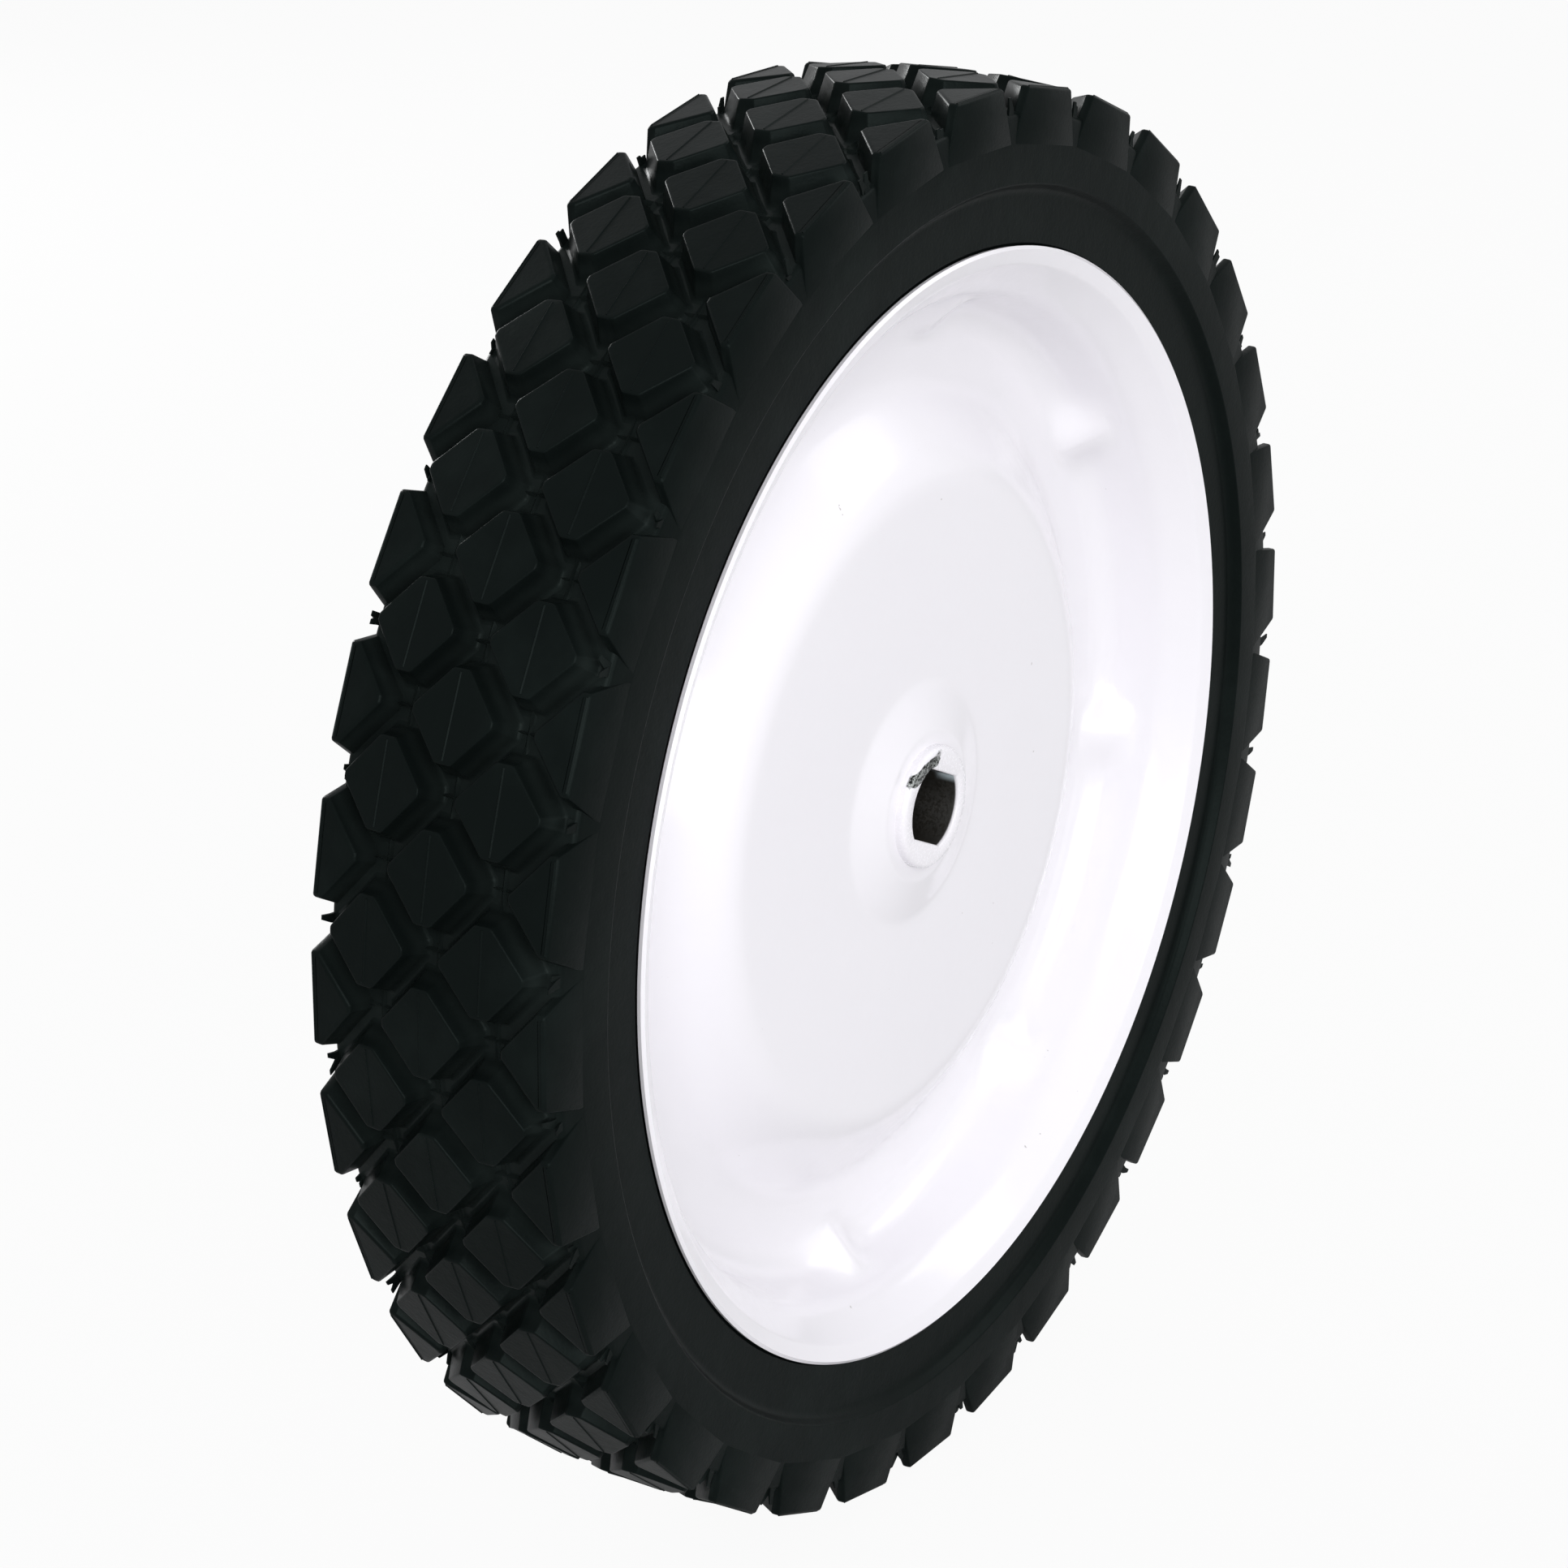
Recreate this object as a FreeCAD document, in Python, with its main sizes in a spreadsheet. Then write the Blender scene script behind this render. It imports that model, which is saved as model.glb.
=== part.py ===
"""Lawn mower wheel, 254 mm over the tread.

A moulded rubber tyre with a diamond tread is clamped between two pressed steel discs. The discs meet
back to back in a deep trough, and a hub tube with a double-D axle hole holds them at the middle.
The axle runs along Y through the origin, +Z is up, and the wheel is symmetrical about the plane y = 0.
"""
import FreeCAD, Part
import math
import os

import Sketcher

# Driving dimensions, in millimetres and degrees.
SIZES = {
    # tyre
    "tyre_radius": 127.0,
    "tyre_width": 43.8,
    "mid_row_drop": 0.6,
    "shoulder_drop": 1.6,
    "pitch_count": 33,
    "tread_turn": 0.9,
    "row_spacing": 10.7,
    "lug_across": 11.2,
    "lug_foot_across": 13.8,
    "shoulder_across": 10.7,
    "shoulder_foot_across": 15.0,
    "groove_depth": 5.0,
    "lug_root": 3.5,
    "floor_half_width": 19.4,
    "floor_drop": 0.6,
    "notch_foot_radius": 116.0,
    "sidewall_step_radius": 109.5,
    "sidewall_step": 2.1,
    "sidewall_step_run": 1.2,
    # pressed discs
    "sheet_thickness": 1.2,
    "rim_radius": 98.7,
    "rim_height": 20.4,
    "lip_radius": 96.0,
    "lip_height": 19.4,
    "wall_top_radius": 90.5,
    "wall_height": 14.0,
    "trough_outer_radius": 87.3,
    "trough_inner_radius": 73.4,
    "plate_radius": 59.5,
    "plate_height": 11.2,
    "boss_base_radius": 22.0,
    "boss_top_radius": 14.0,
    "boss_height": 12.9,
    "plate_bend": 9.0,
    # pressed gussets across the foot of each disc's wall
    "gusset_count": 8,
    "gusset_turn": 35.0,
    "gusset_foot_radius": 79.5,
    "gusset_top_height": 13.0,
    "gusset_width": 8.0,
    "gusset_depth": 7.0,
    # hub tube
    "tube_radius": 9.5,
    "collar_radius": 11.1,
    "collar_height": 1.9,
    "axle_round": 15.9,
    "axle_flats": 12.7,
    "axle_turn": 26.5,
    # fits
    "seat_clearance": 0.15,
    "lip_clearance": 0.3,
    "tube_clearance": 0.15,
}

Y_AXIS = FreeCAD.Vector(0, 1, 0)

doc = FreeCAD.newDocument("mower_wheel")


def make_sheet():
    """The spreadsheet that every size is read from."""
    sheet = doc.addObject("Spreadsheet::Sheet", "sizes")
    for row, (name, value) in enumerate(SIZES.items(), start=1):
        sheet.set("A%d" % row, name)
        sheet.set("B%d" % row, str(value))
        sheet.setAlias("B%d" % row, name)
    doc.recompute()


def number(owner, expression):
    """The plain number that an expression on the sheet gives now."""
    value = owner.evalExpression(expression)
    return float(getattr(value, "Value", value))


def origin_item(body, role):
    """A body's own origin plane or axis."""
    for item in body.Origin.OriginFeatures:
        if item.Role == role:
            return item


def new_body(label):
    """An empty body that carries one sub-part."""
    body = doc.addObject("PartDesign::Body", label)
    body.Label = label
    return body


def new_sketch(body, role, name):
    """A sketch on one of the body's origin planes."""
    sketch = body.newObject("Sketcher::SketchObject", name)
    sketch.AttachmentSupport = [(origin_item(body, role), "")]
    sketch.MapMode = "FlatFace"
    return sketch


def hold_point(sketch, geometry, position, place):
    """Ties one point of a sketch to a pair of expressions, measured from the sketch's origin."""
    for kind, expression in zip(("DistanceX", "DistanceY"), place):
        value = number(sketch, expression)
        index = sketch.addConstraint(Sketcher.Constraint(kind, -1, 1, geometry, position, value))
        sketch.setExpression("Constraints[%d]" % index, expression)


def point_at(sketch, place):
    """A pair of expressions as a point in the sketch's plane."""
    return FreeCAD.Vector(number(sketch, place[0]), number(sketch, place[1]), 0)


def draw_outline(sketch, places):
    """A closed outline of straight lines through points given as pairs of expressions."""
    points = [point_at(sketch, place) for place in places]
    lines = []
    for start, end in zip(points, points[1:] + points[:1]):
        lines.append(sketch.addGeometry(Part.LineSegment(start, end), False))
    for line, following in zip(lines, lines[1:] + lines[:1]):
        sketch.addConstraint(Sketcher.Constraint("Coincident", line, 2, following, 1))
    for line, place in zip(lines, places):
        hold_point(sketch, line, 1, place)


def draw_bent_strip(sketch, places, bends):
    """An open line through points given as pairs of expressions, with a bend radius at each inner point.

    A radius of None leaves that corner sharp.
    """
    points = [point_at(sketch, place) for place in places]
    starts = list(points[:-1])
    ends = list(points[1:])
    arcs = {}
    for corner, bend in enumerate(bends, start=1):
        if bend is None:
            continue
        before = (points[corner - 1] - points[corner]).normalize()
        after = (points[corner + 1] - points[corner]).normalize()
        half_angle = before.getAngle(after) / 2
        radius = number(sketch, bend)
        reach = radius / math.tan(half_angle)
        middle = (before + after).normalize()
        centre = points[corner] + middle * (radius / math.sin(half_angle))
        ends[corner - 1] = points[corner] + before * reach
        starts[corner] = points[corner] + after * reach
        spoke = ends[corner - 1] - centre
        next_spoke = starts[corner] - centre
        angles = [math.atan2(spoke.y, spoke.x), math.atan2(next_spoke.y, next_spoke.x)]
        turns_left = spoke.x * next_spoke.y > spoke.y * next_spoke.x
        if not turns_left:
            angles.reverse()
        circle = Part.Circle(centre, FreeCAD.Vector(0, 0, 1), radius)
        arcs[corner] = (Part.ArcOfCircle(circle, *angles), 1 if turns_left else 2)
    lines = []
    for start, end in zip(starts, ends):
        lines.append(sketch.addGeometry(Part.LineSegment(start, end), False))
    hold_point(sketch, lines[0], 1, places[0])
    hold_point(sketch, lines[-1], 2, places[-1])
    for corner, bend in enumerate(bends, start=1):
        before, after = lines[corner - 1], lines[corner]
        if bend is None:
            sketch.addConstraint(Sketcher.Constraint("Coincident", before, 2, after, 1))
            hold_point(sketch, after, 1, places[corner])
            continue
        drawn, first = arcs[corner]
        arc = sketch.addGeometry(drawn, False)
        sketch.addConstraint(Sketcher.Constraint("Tangent", before, 2, arc, first))
        sketch.addConstraint(Sketcher.Constraint("Tangent", arc, 3 - first, after, 1))
        index = sketch.addConstraint(Sketcher.Constraint("Radius", arc, number(sketch, bend)))
        sketch.setExpression("Constraints[%d]" % index, bend)
        apex = sketch.addGeometry(Part.Point(points[corner]), True)
        sketch.addConstraint(Sketcher.Constraint("PointOnObject", apex, 1, before))
        sketch.addConstraint(Sketcher.Constraint("PointOnObject", apex, 1, after))
        hold_point(sketch, apex, 1, places[corner])


def turn_about_axle(body, name, feature, count):
    """Repeats a feature evenly round the axle."""
    pattern = body.newObject("PartDesign::PolarPattern", name)
    pattern.Originals = [feature]
    pattern.Axis = (origin_item(body, "Y_Axis"), [""])
    pattern.Angle = 360
    pattern.setExpression("Occurrences", count)
    body.Tip = pattern
    doc.recompute()
    return pattern


# The disc's outer surface as a line from the hub hole to the free edge of the rim: radius, then height
# above the plane where the two discs meet.
DISC_LINE = {
    "hub_edge": ("sizes.tube_radius + sizes.tube_clearance", "sizes.boss_height"),
    "boss_top": ("sizes.boss_top_radius", "sizes.boss_height"),
    "boss_base": ("sizes.boss_base_radius", "sizes.plate_height"),
    "plate_edge": ("sizes.plate_radius", "sizes.plate_height"),
    "trough_inner": ("sizes.trough_inner_radius", "sizes.sheet_thickness"),
    "trough_outer": ("sizes.trough_outer_radius", "sizes.sheet_thickness"),
    "wall_top": ("sizes.wall_top_radius", "sizes.wall_height"),
    "lip": ("sizes.lip_radius", "sizes.lip_height"),
    "rim_edge": ("sizes.rim_radius", "sizes.rim_height"),
}


def make_lug_row(body, name, top, turn, row, depth, across, foot_across):
    """A row of diamond lugs round the tread: square blocks set cornerwise, with flat tops and wider feet.

    The first has its top at a radius, turned about the axle from the top of the wheel, and row places it
    across the tread.
    """
    lug = body.newObject("PartDesign::AdditiveWedge", name + "_lug")
    lug.setExpression("Ymin", "-(%s)" % depth)
    lug.setExpression("Ymax", "0")
    for side in "XZ":
        lug.setExpression(side + "min", "-%s / 2" % foot_across)
        lug.setExpression(side + "max", "%s / 2" % foot_across)
        lug.setExpression(side + "2min", "-%s / 2" % across)
        lug.setExpression(side + "2max", "%s / 2" % across)
    place = "create(<<vector>>; %s * sin(%s); %s; %s * cos(%s))" % (top, turn, row, top, turn)
    round_wheel = "create(<<rotation>>; create(<<vector>>; 0; 1; 0); %s)" % turn
    upright = "create(<<rotation>>; create(<<vector>>; 1; 0; 0); 90)"
    cornerwise = "create(<<rotation>>; create(<<vector>>; 0; 1; 0); 45)"
    turned = "%s * %s * %s" % (round_wheel, upright, cornerwise)
    lug.setExpression("Placement", "create(<<placement>>; %s; %s)" % (place, turned))
    doc.recompute()
    turn_about_axle(body, name + "_row", lug, "sizes.pitch_count")


def make_tyre():
    """One moulded piece: a carcass that seats between the discs, with rows of diamond lugs on it."""
    body = new_body("tyre")

    section = new_sketch(body, "XY_Plane", "tyre_half_section")
    half_width = "sizes.tyre_width / 2"
    band = half_width + " - sizes.sidewall_step"
    seat = "sizes.sheet_thickness + sizes.seat_clearance"
    rubber_edge = "sizes.rim_radius + sizes.sheet_thickness / 2 + sizes.lip_clearance"
    floor = "sizes.tyre_radius - sizes.groove_depth"

    # the disc's wall, flange and lip, drawn for reference; the seat runs parallel to them
    guides = []
    for start, end in (("trough_outer", "wall_top"), ("wall_top", "lip"), ("lip", "rim_edge")):
        ends = (point_at(section, DISC_LINE[start]), point_at(section, DISC_LINE[end]))
        guide = section.addGeometry(Part.LineSegment(*ends), True)
        hold_point(section, guide, 1, DISC_LINE[start])
        hold_point(section, guide, 2, DISC_LINE[end])
        guides.append(guide)
    outer = [
        (rubber_edge, band),
        ("sizes.sidewall_step_radius - sizes.sidewall_step_run", band),
        ("sizes.sidewall_step_radius", half_width),
        ("sizes.notch_foot_radius", half_width),
        (floor + " - sizes.floor_drop", "sizes.floor_half_width"),
        (floor, "0"),
    ]
    outer_points = [point_at(section, place) for place in outer]
    offset = number(section, seat)
    seat_lines = []
    for guide in guides:
        line = section.Geometry[guide]
        along = (line.EndPoint - line.StartPoint).normalize()
        away = FreeCAD.Vector(along.y, -along.x, 0) * offset
        seat_lines.append((line.StartPoint + away, along))
    corners = []
    for (base, along), (next_base, next_along) in zip(seat_lines, seat_lines[1:]):
        cross = along.x * next_along.y - along.y * next_along.x
        gap = next_base - base
        reach = (gap.x * next_along.y - gap.y * next_along.x) / cross
        corners.append(base + along * reach)
    first_base, first_along = seat_lines[0]
    seat_start = first_base - first_along * (first_base.y / first_along.y)
    last_base, last_along = seat_lines[-1]
    seat_end = last_base + last_along * ((outer_points[0].x - last_base.x) / last_along.x)
    points = [seat_start] + corners + [seat_end] + outer_points
    lines = []
    for start, end in zip(points, points[1:] + points[:1]):
        lines.append(section.addGeometry(Part.LineSegment(start, end), False))
    for line, following in zip(lines, lines[1:] + lines[:1]):
        section.addConstraint(Sketcher.Constraint("Coincident", line, 2, following, 1))
    for line, guide in zip(lines, guides):
        section.addConstraint(Sketcher.Constraint("Parallel", line, guide))
        index = section.addConstraint(Sketcher.Constraint("Distance", line, 2, guide, offset))
        section.setExpression("Constraints[%d]" % index, seat)
    section.addConstraint(Sketcher.Constraint("PointOnObject", lines[0], 1, -1))
    section.addConstraint(Sketcher.Constraint("Vertical", lines[3]))
    for line, place in zip(lines[4:], outer):
        hold_point(section, line, 1, place)

    half = body.newObject("PartDesign::Revolution", "half_carcass")
    half.Profile = section
    half.ReferenceAxis = (section, ["V_Axis"])
    half.Angle = 360
    doc.recompute()
    whole = body.newObject("PartDesign::Mirrored", "carcass")
    whole.Originals = [half]
    whole.MirrorPlane = (origin_item(body, "XZ_Plane"), [""])
    body.Tip = whole
    doc.recompute()

    # the three diamonds and two shoulder lugs of one pitch, then the same all round the tread
    top = "sizes.tyre_radius"
    mid_top = "(sizes.tyre_radius - sizes.mid_row_drop)"
    shoulder_top = "(sizes.tyre_radius - sizes.shoulder_drop)"
    depth = "sizes.groove_depth + sizes.lug_root"
    notch_depth = shoulder_top + " - sizes.notch_foot_radius + sizes.lug_root"
    half_pitch = "180 / sizes.pitch_count"
    lug_size = ("sizes.lug_across", "sizes.lug_foot_across")
    shoulder_size = ("sizes.shoulder_across", "sizes.shoulder_foot_across")
    make_lug_row(body, "centre", top, "0", "0", depth, *lug_size)
    for side, sign in (("front", "-"), ("back", "")):
        mid = sign + "sizes.row_spacing"
        shoulder = sign + "2 * sizes.row_spacing"
        make_lug_row(body, side + "_mid", mid_top, half_pitch, mid, depth, *lug_size)
        make_lug_row(body, side + "_shoulder", shoulder_top, "0", shoulder, notch_depth, *shoulder_size)

    # the shoulder lugs are trimmed flush with both sidewalls
    trim = new_sketch(body, "XY_Plane", "sidewall_trim")
    for sign in ("", "-"):
        wall = sign + half_width
        outside = sign + "sizes.tyre_width"
        inner = "sizes.notch_foot_radius - 2 * sizes.lug_root"
        beyond = "sizes.tyre_radius + sizes.lug_root"
        draw_outline(trim, [(inner, wall), (beyond, wall), (beyond, outside), (inner, outside)])
    faces = body.newObject("PartDesign::Groove", "sidewall_faces")
    faces.Profile = trim
    faces.ReferenceAxis = (trim, ["V_Axis"])
    faces.Angle = 360
    body.Tip = faces
    body.Placement = FreeCAD.Placement(FreeCAD.Vector(), FreeCAD.Rotation(Y_AXIS, 1))
    body.setExpression("Placement.Rotation.Angle", "-sizes.tread_turn")
    doc.recompute()
    return body


def make_disc(label, turned_over):
    """One pressed steel disc: plate, trough, wall, flange and lip, with gussets across the wall's foot.

    It is drawn with its outer face towards +Y, or turned over to face -Y.
    """
    line = doc.addObject("Sketcher::SketchObject", label + "_line")
    bends = [None, None, "sizes.plate_bend", None, None, None, None]
    draw_bent_strip(line, list(DISC_LINE.values()), bends)
    doc.recompute()
    strip = doc.addObject("Part::Offset2D", label + "_strip")
    strip.Source = line
    strip.Mode = "Skin"
    strip.Join = "Intersection"
    strip.Fill = True
    strip.setExpression("Value", "sizes.sheet_thickness")
    spun = doc.addObject("Part::Revolution", label + "_spun")
    spun.Source = strip
    spun.Axis = Y_AXIS
    spun.Angle = 360
    doc.recompute()

    body = new_body(label)
    body.BaseFeature = spun
    doc.recompute()

    # a gusset is the near side of a square bar laid cornerwise from the trough floor up to the wall; the
    # bar is trimmed flush with the back of the sheet and hollowed to sheet thickness
    rise = "(sizes.gusset_top_height - sizes.sheet_thickness)"
    wall_run = "((sizes.wall_top_radius - sizes.trough_outer_radius)"
    wall_run += " / (sizes.wall_height - sizes.sheet_thickness))"
    run = "(sizes.trough_outer_radius + %s * %s - sizes.gusset_foot_radius)" % (wall_run, rise)
    lean = "atan2(%s; %s)" % (rise, run)
    crest_length = "sqrt(%s ^ 2 + %s ^ 2)" % (rise, run)

    def gusset_section(name, inset):
        """The bar's section, square to the crest at its foot, drawn smaller by an inset at each corner."""
        section = new_sketch(body, "XZ_Plane", label + name)
        section.AttachmentOffset = FreeCAD.Placement(FreeCAD.Vector(), FreeCAD.Rotation(Y_AXIS, 1))
        section.setExpression("AttachmentOffset.Rotation.Angle", "90 deg + " + lean)
        section.setExpression("AttachmentOffset.Base.x", "sizes.gusset_foot_radius")
        section.setExpression("AttachmentOffset.Base.z", "-sizes.sheet_thickness")
        crest = "-(%s)" % inset
        middle = "-sizes.gusset_depth"
        side = "sizes.gusset_width / 2 * (1 - (%s) / sizes.gusset_depth)" % inset
        back = "-2 * sizes.gusset_depth + " + inset
        draw_outline(section, [(crest, "0"), (middle, side), (back, "0"), (middle, "-" + side)])
        return section

    gusset = body.newObject("PartDesign::Pad", label + "_gusset")
    gusset.Profile = gusset_section("_gusset_section", "0")
    gusset.setExpression("Length", crest_length)
    doc.recompute()
    turn_about_axle(body, label + "_gussets", gusset, "sizes.gusset_count")

    behind = new_sketch(body, "XY_Plane", label + "_back")
    below = "-2 * sizes.gusset_depth"
    beyond = "sizes.rim_radius + 2 * sizes.gusset_depth"
    wall_ends = (point_at(behind, DISC_LINE["trough_outer"]), point_at(behind, DISC_LINE["wall_top"]))
    wall = behind.addGeometry(Part.LineSegment(*wall_ends), True)
    hold_point(behind, wall, 1, DISC_LINE["trough_outer"])
    hold_point(behind, wall, 2, DISC_LINE["wall_top"])
    thickness = number(behind, "sizes.sheet_thickness")
    along = (wall_ends[1] - wall_ends[0]).normalize()
    away = FreeCAD.Vector(along.y, -along.x, 0) * thickness
    foot = wall_ends[0] + away
    trim_height = number(behind, "sizes.gusset_top_height")
    low = foot - along * (foot.y / along.y)
    high = foot + along * ((trim_height - foot.y) / along.y)
    inner = point_at(behind, ("sizes.trough_inner_radius", "0"))
    corner = point_at(behind, ("sizes.trough_inner_radius", below))
    far = point_at(behind, (beyond, below))
    outer = point_at(behind, (beyond, "sizes.gusset_top_height"))
    points = [low, high, outer, far, corner, inner]
    lines = []
    for start, end in zip(points, points[1:] + points[:1]):
        lines.append(behind.addGeometry(Part.LineSegment(start, end), False))
    for side, following in zip(lines, lines[1:] + lines[:1]):
        behind.addConstraint(Sketcher.Constraint("Coincident", side, 2, following, 1))
    behind.addConstraint(Sketcher.Constraint("Parallel", lines[0], wall))
    index = behind.addConstraint(Sketcher.Constraint("Distance", lines[0], 1, wall, thickness))
    behind.setExpression("Constraints[%d]" % index, "sizes.sheet_thickness")
    behind.addConstraint(Sketcher.Constraint("PointOnObject", lines[0], 1, -1))
    behind.addConstraint(Sketcher.Constraint("Horizontal", lines[1]))
    hold_point(behind, lines[2], 1, (beyond, "sizes.gusset_top_height"))
    hold_point(behind, lines[3], 1, (beyond, below))
    hold_point(behind, lines[4], 1, ("sizes.trough_inner_radius", below))
    hold_point(behind, lines[5], 1, ("sizes.trough_inner_radius", "0"))
    back = body.newObject("PartDesign::Groove", label + "_back_trim")
    back.Profile = behind
    back.ReferenceAxis = (behind, ["V_Axis"])
    back.Angle = 360
    doc.recompute()

    hollow = body.newObject("PartDesign::Pocket", label + "_hollow")
    flank = "sqrt(1 + (2 * sizes.gusset_depth / sizes.gusset_width) ^ 2)"
    hollow.Profile = gusset_section("_hollow_section", "sizes.sheet_thickness * " + flank)
    hollow.Reversed = True
    hollow.setExpression("Length", crest_length)
    doc.recompute()
    turn_about_axle(body, label + "_hollows", hollow, "sizes.gusset_count")
    flipped = "create(<<vector>>; cos(sizes.gusset_turn / 2); 0; sin(sizes.gusset_turn / 2)); 180"
    upright = "create(<<vector>>; 0; 1; 0); -sizes.gusset_turn"
    turn = "create(<<rotation>>; %s)" % (flipped if turned_over else upright)
    body.setExpression("Placement", "create(<<placement>>; create(<<vector>>; 0; 0; 0); %s)" % turn)
    doc.recompute()
    return body


def make_hub_tube():
    """A thick tube through both discs, with a collar at each end and a double-D hole for the axle."""
    body = new_body("hub_tube")
    section = new_sketch(body, "XY_Plane", "tube_half_section")
    end = "sizes.boss_height + sizes.collar_height"
    draw_outline(section, [
        ("0", "0"),
        ("sizes.tube_radius", "0"),
        ("sizes.tube_radius", "sizes.boss_height"),
        ("sizes.collar_radius", "sizes.boss_height"),
        ("sizes.collar_radius", end),
        ("0", end),
    ])
    half = body.newObject("PartDesign::Revolution", "half_tube")
    half.Profile = section
    half.ReferenceAxis = (section, ["V_Axis"])
    half.Angle = 360
    doc.recompute()
    whole = body.newObject("PartDesign::Mirrored", "whole_tube")
    whole.Originals = [half]
    whole.MirrorPlane = (origin_item(body, "XZ_Plane"), [""])
    body.Tip = whole
    doc.recompute()

    hole = new_sketch(body, "XZ_Plane", "double_d")
    radius = number(hole, "sizes.axle_round / 2")
    flat = number(hole, "sizes.axle_flats / 2")
    reach = math.sqrt(radius * radius - flat * flat)
    corner = math.asin(flat / radius)
    circle = Part.Circle(FreeCAD.Vector(), FreeCAD.Vector(0, 0, 1), radius)
    right = hole.addGeometry(Part.ArcOfCircle(circle, -corner, corner), False)
    left = hole.addGeometry(Part.ArcOfCircle(circle, math.pi - corner, math.pi + corner), False)
    first_corner = FreeCAD.Vector(reach, flat, 0)
    second_corner = FreeCAD.Vector(-reach, flat, 0)
    upper = hole.addGeometry(Part.LineSegment(first_corner, second_corner), False)
    lower = hole.addGeometry(Part.LineSegment(-first_corner, -second_corner), False)
    for first, second in ((right, upper), (upper, left), (left, lower), (lower, right)):
        hole.addConstraint(Sketcher.Constraint("Coincident", first, 2, second, 1))
    for arc in (right, left):
        hole.addConstraint(Sketcher.Constraint("Coincident", arc, 3, -1, 1))
    hole.addConstraint(Sketcher.Constraint("Horizontal", upper))
    hole.addConstraint(Sketcher.Constraint("Horizontal", lower))
    index = hole.addConstraint(Sketcher.Constraint("Diameter", right, 2 * radius))
    hole.setExpression("Constraints[%d]" % index, "sizes.axle_round")
    for line, sign in ((upper, ""), (lower, "-")):
        value = flat if line == upper else -flat
        index = hole.addConstraint(Sketcher.Constraint("DistanceY", -1, 1, line, 1, value))
        hole.setExpression("Constraints[%d]" % index, sign + "sizes.axle_flats / 2")
    bore = body.newObject("PartDesign::Pocket", "axle_hole")
    bore.Profile = hole
    bore.Type = "ThroughAll"
    bore.Midplane = True
    body.Tip = bore
    doc.recompute()
    body.Placement = FreeCAD.Placement(FreeCAD.Vector(), FreeCAD.Rotation(Y_AXIS, 1))
    body.setExpression("Placement.Rotation.Angle", "sizes.axle_turn")
    doc.recompute()
    return body


def export(bodies):
    """Stops on a failed or empty object, then writes each sub-part to its own file."""
    for item in doc.Objects:
        if "Invalid" in item.State or "Error" in item.State:
            raise RuntimeError("%s failed to build" % item.Name)
    os.makedirs("parts", exist_ok=True)
    for body in bodies:
        if body.Shape.isNull() or not body.Shape.isValid() or len(body.Shape.Solids) != 1:
            raise RuntimeError("%s isn't one sound solid" % body.Label)
        body.Shape.exportStep(os.path.join("parts", body.Label + ".step"))


make_sheet()
tyre = make_tyre()
outer_disc = make_disc("outer_disc", True)
inner_disc = make_disc("inner_disc", False)
hub_tube = make_hub_tube()
export([tyre, outer_disc, inner_disc, hub_tube])
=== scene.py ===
"""Looks of a lawn mower wheel: a moulded rubber tyre, two white enamelled discs and a hub tube."""
import math

import bpy
import numpy as np
from mathutils import Matrix, Vector


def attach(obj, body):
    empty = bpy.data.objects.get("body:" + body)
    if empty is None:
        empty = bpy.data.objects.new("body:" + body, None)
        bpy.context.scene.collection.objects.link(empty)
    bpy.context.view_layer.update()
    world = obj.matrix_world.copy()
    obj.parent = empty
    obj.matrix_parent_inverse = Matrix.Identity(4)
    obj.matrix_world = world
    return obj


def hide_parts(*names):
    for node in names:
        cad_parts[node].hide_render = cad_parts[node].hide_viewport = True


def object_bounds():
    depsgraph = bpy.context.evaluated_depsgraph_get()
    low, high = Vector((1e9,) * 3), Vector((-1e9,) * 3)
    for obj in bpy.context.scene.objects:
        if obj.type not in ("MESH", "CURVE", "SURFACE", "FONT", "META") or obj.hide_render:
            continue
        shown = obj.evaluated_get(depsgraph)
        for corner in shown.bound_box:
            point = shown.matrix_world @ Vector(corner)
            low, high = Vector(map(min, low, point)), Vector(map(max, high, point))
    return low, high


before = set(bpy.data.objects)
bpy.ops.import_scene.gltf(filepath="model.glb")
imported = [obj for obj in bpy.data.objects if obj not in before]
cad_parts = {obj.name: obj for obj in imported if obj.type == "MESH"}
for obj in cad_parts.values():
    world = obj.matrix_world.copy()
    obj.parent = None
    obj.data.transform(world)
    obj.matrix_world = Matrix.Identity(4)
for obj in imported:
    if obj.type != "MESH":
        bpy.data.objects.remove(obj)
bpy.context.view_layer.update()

# Lengths are in millimetres and angles in degrees, apart from the lamps and the places in the finishes,
# which are in metres. The axle runs along Y, and the face in the photo looks to -Y.
MM = 0.001

# tyre
TYRE_RADIUS = 127.0
TYRE_HALF_WIDTH = 21.9
PITCHES = 33
TREAD_TURN = 90.94
ROW_SPACING = 10.7
MID_ROW_DROP = 0.6
SHOULDER_DROP = 1.6
GROOVE_DEPTH = 5.0
GROOVE_WIDTH = 4.3
LUG_LENGTH = 14.4
LUG_WIDTH = 14.6
LUG_BEVEL = 0.3
LUG_CORNER = 0.8
LUG_DRAFT = 18.0
LUG_FOOT_FILLET = 0.9
LUG_ROOT = 0.6
CAP_MARGIN = 0.3
SHOULDER_LENGTH = 15.2
SHOULDER_DRAFT = 12.0
SHOULDER_BEVEL = 0.5
SHOULDER_CORNER = 0.4
SHOULDER_ROOT = 2.5
NOTCH_FOOT_RADIUS = 116.0
FLOOR_HALF_WIDTH = 21.4
FLOOR_DROP = 0.6
STEP_RADIUS = 109.5
STEP_HEIGHT = 2.1
STEP_RUN = 1.2
SEGMENTS_PER_PITCH = 8
BOX_CLEARANCE = 0.02

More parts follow.
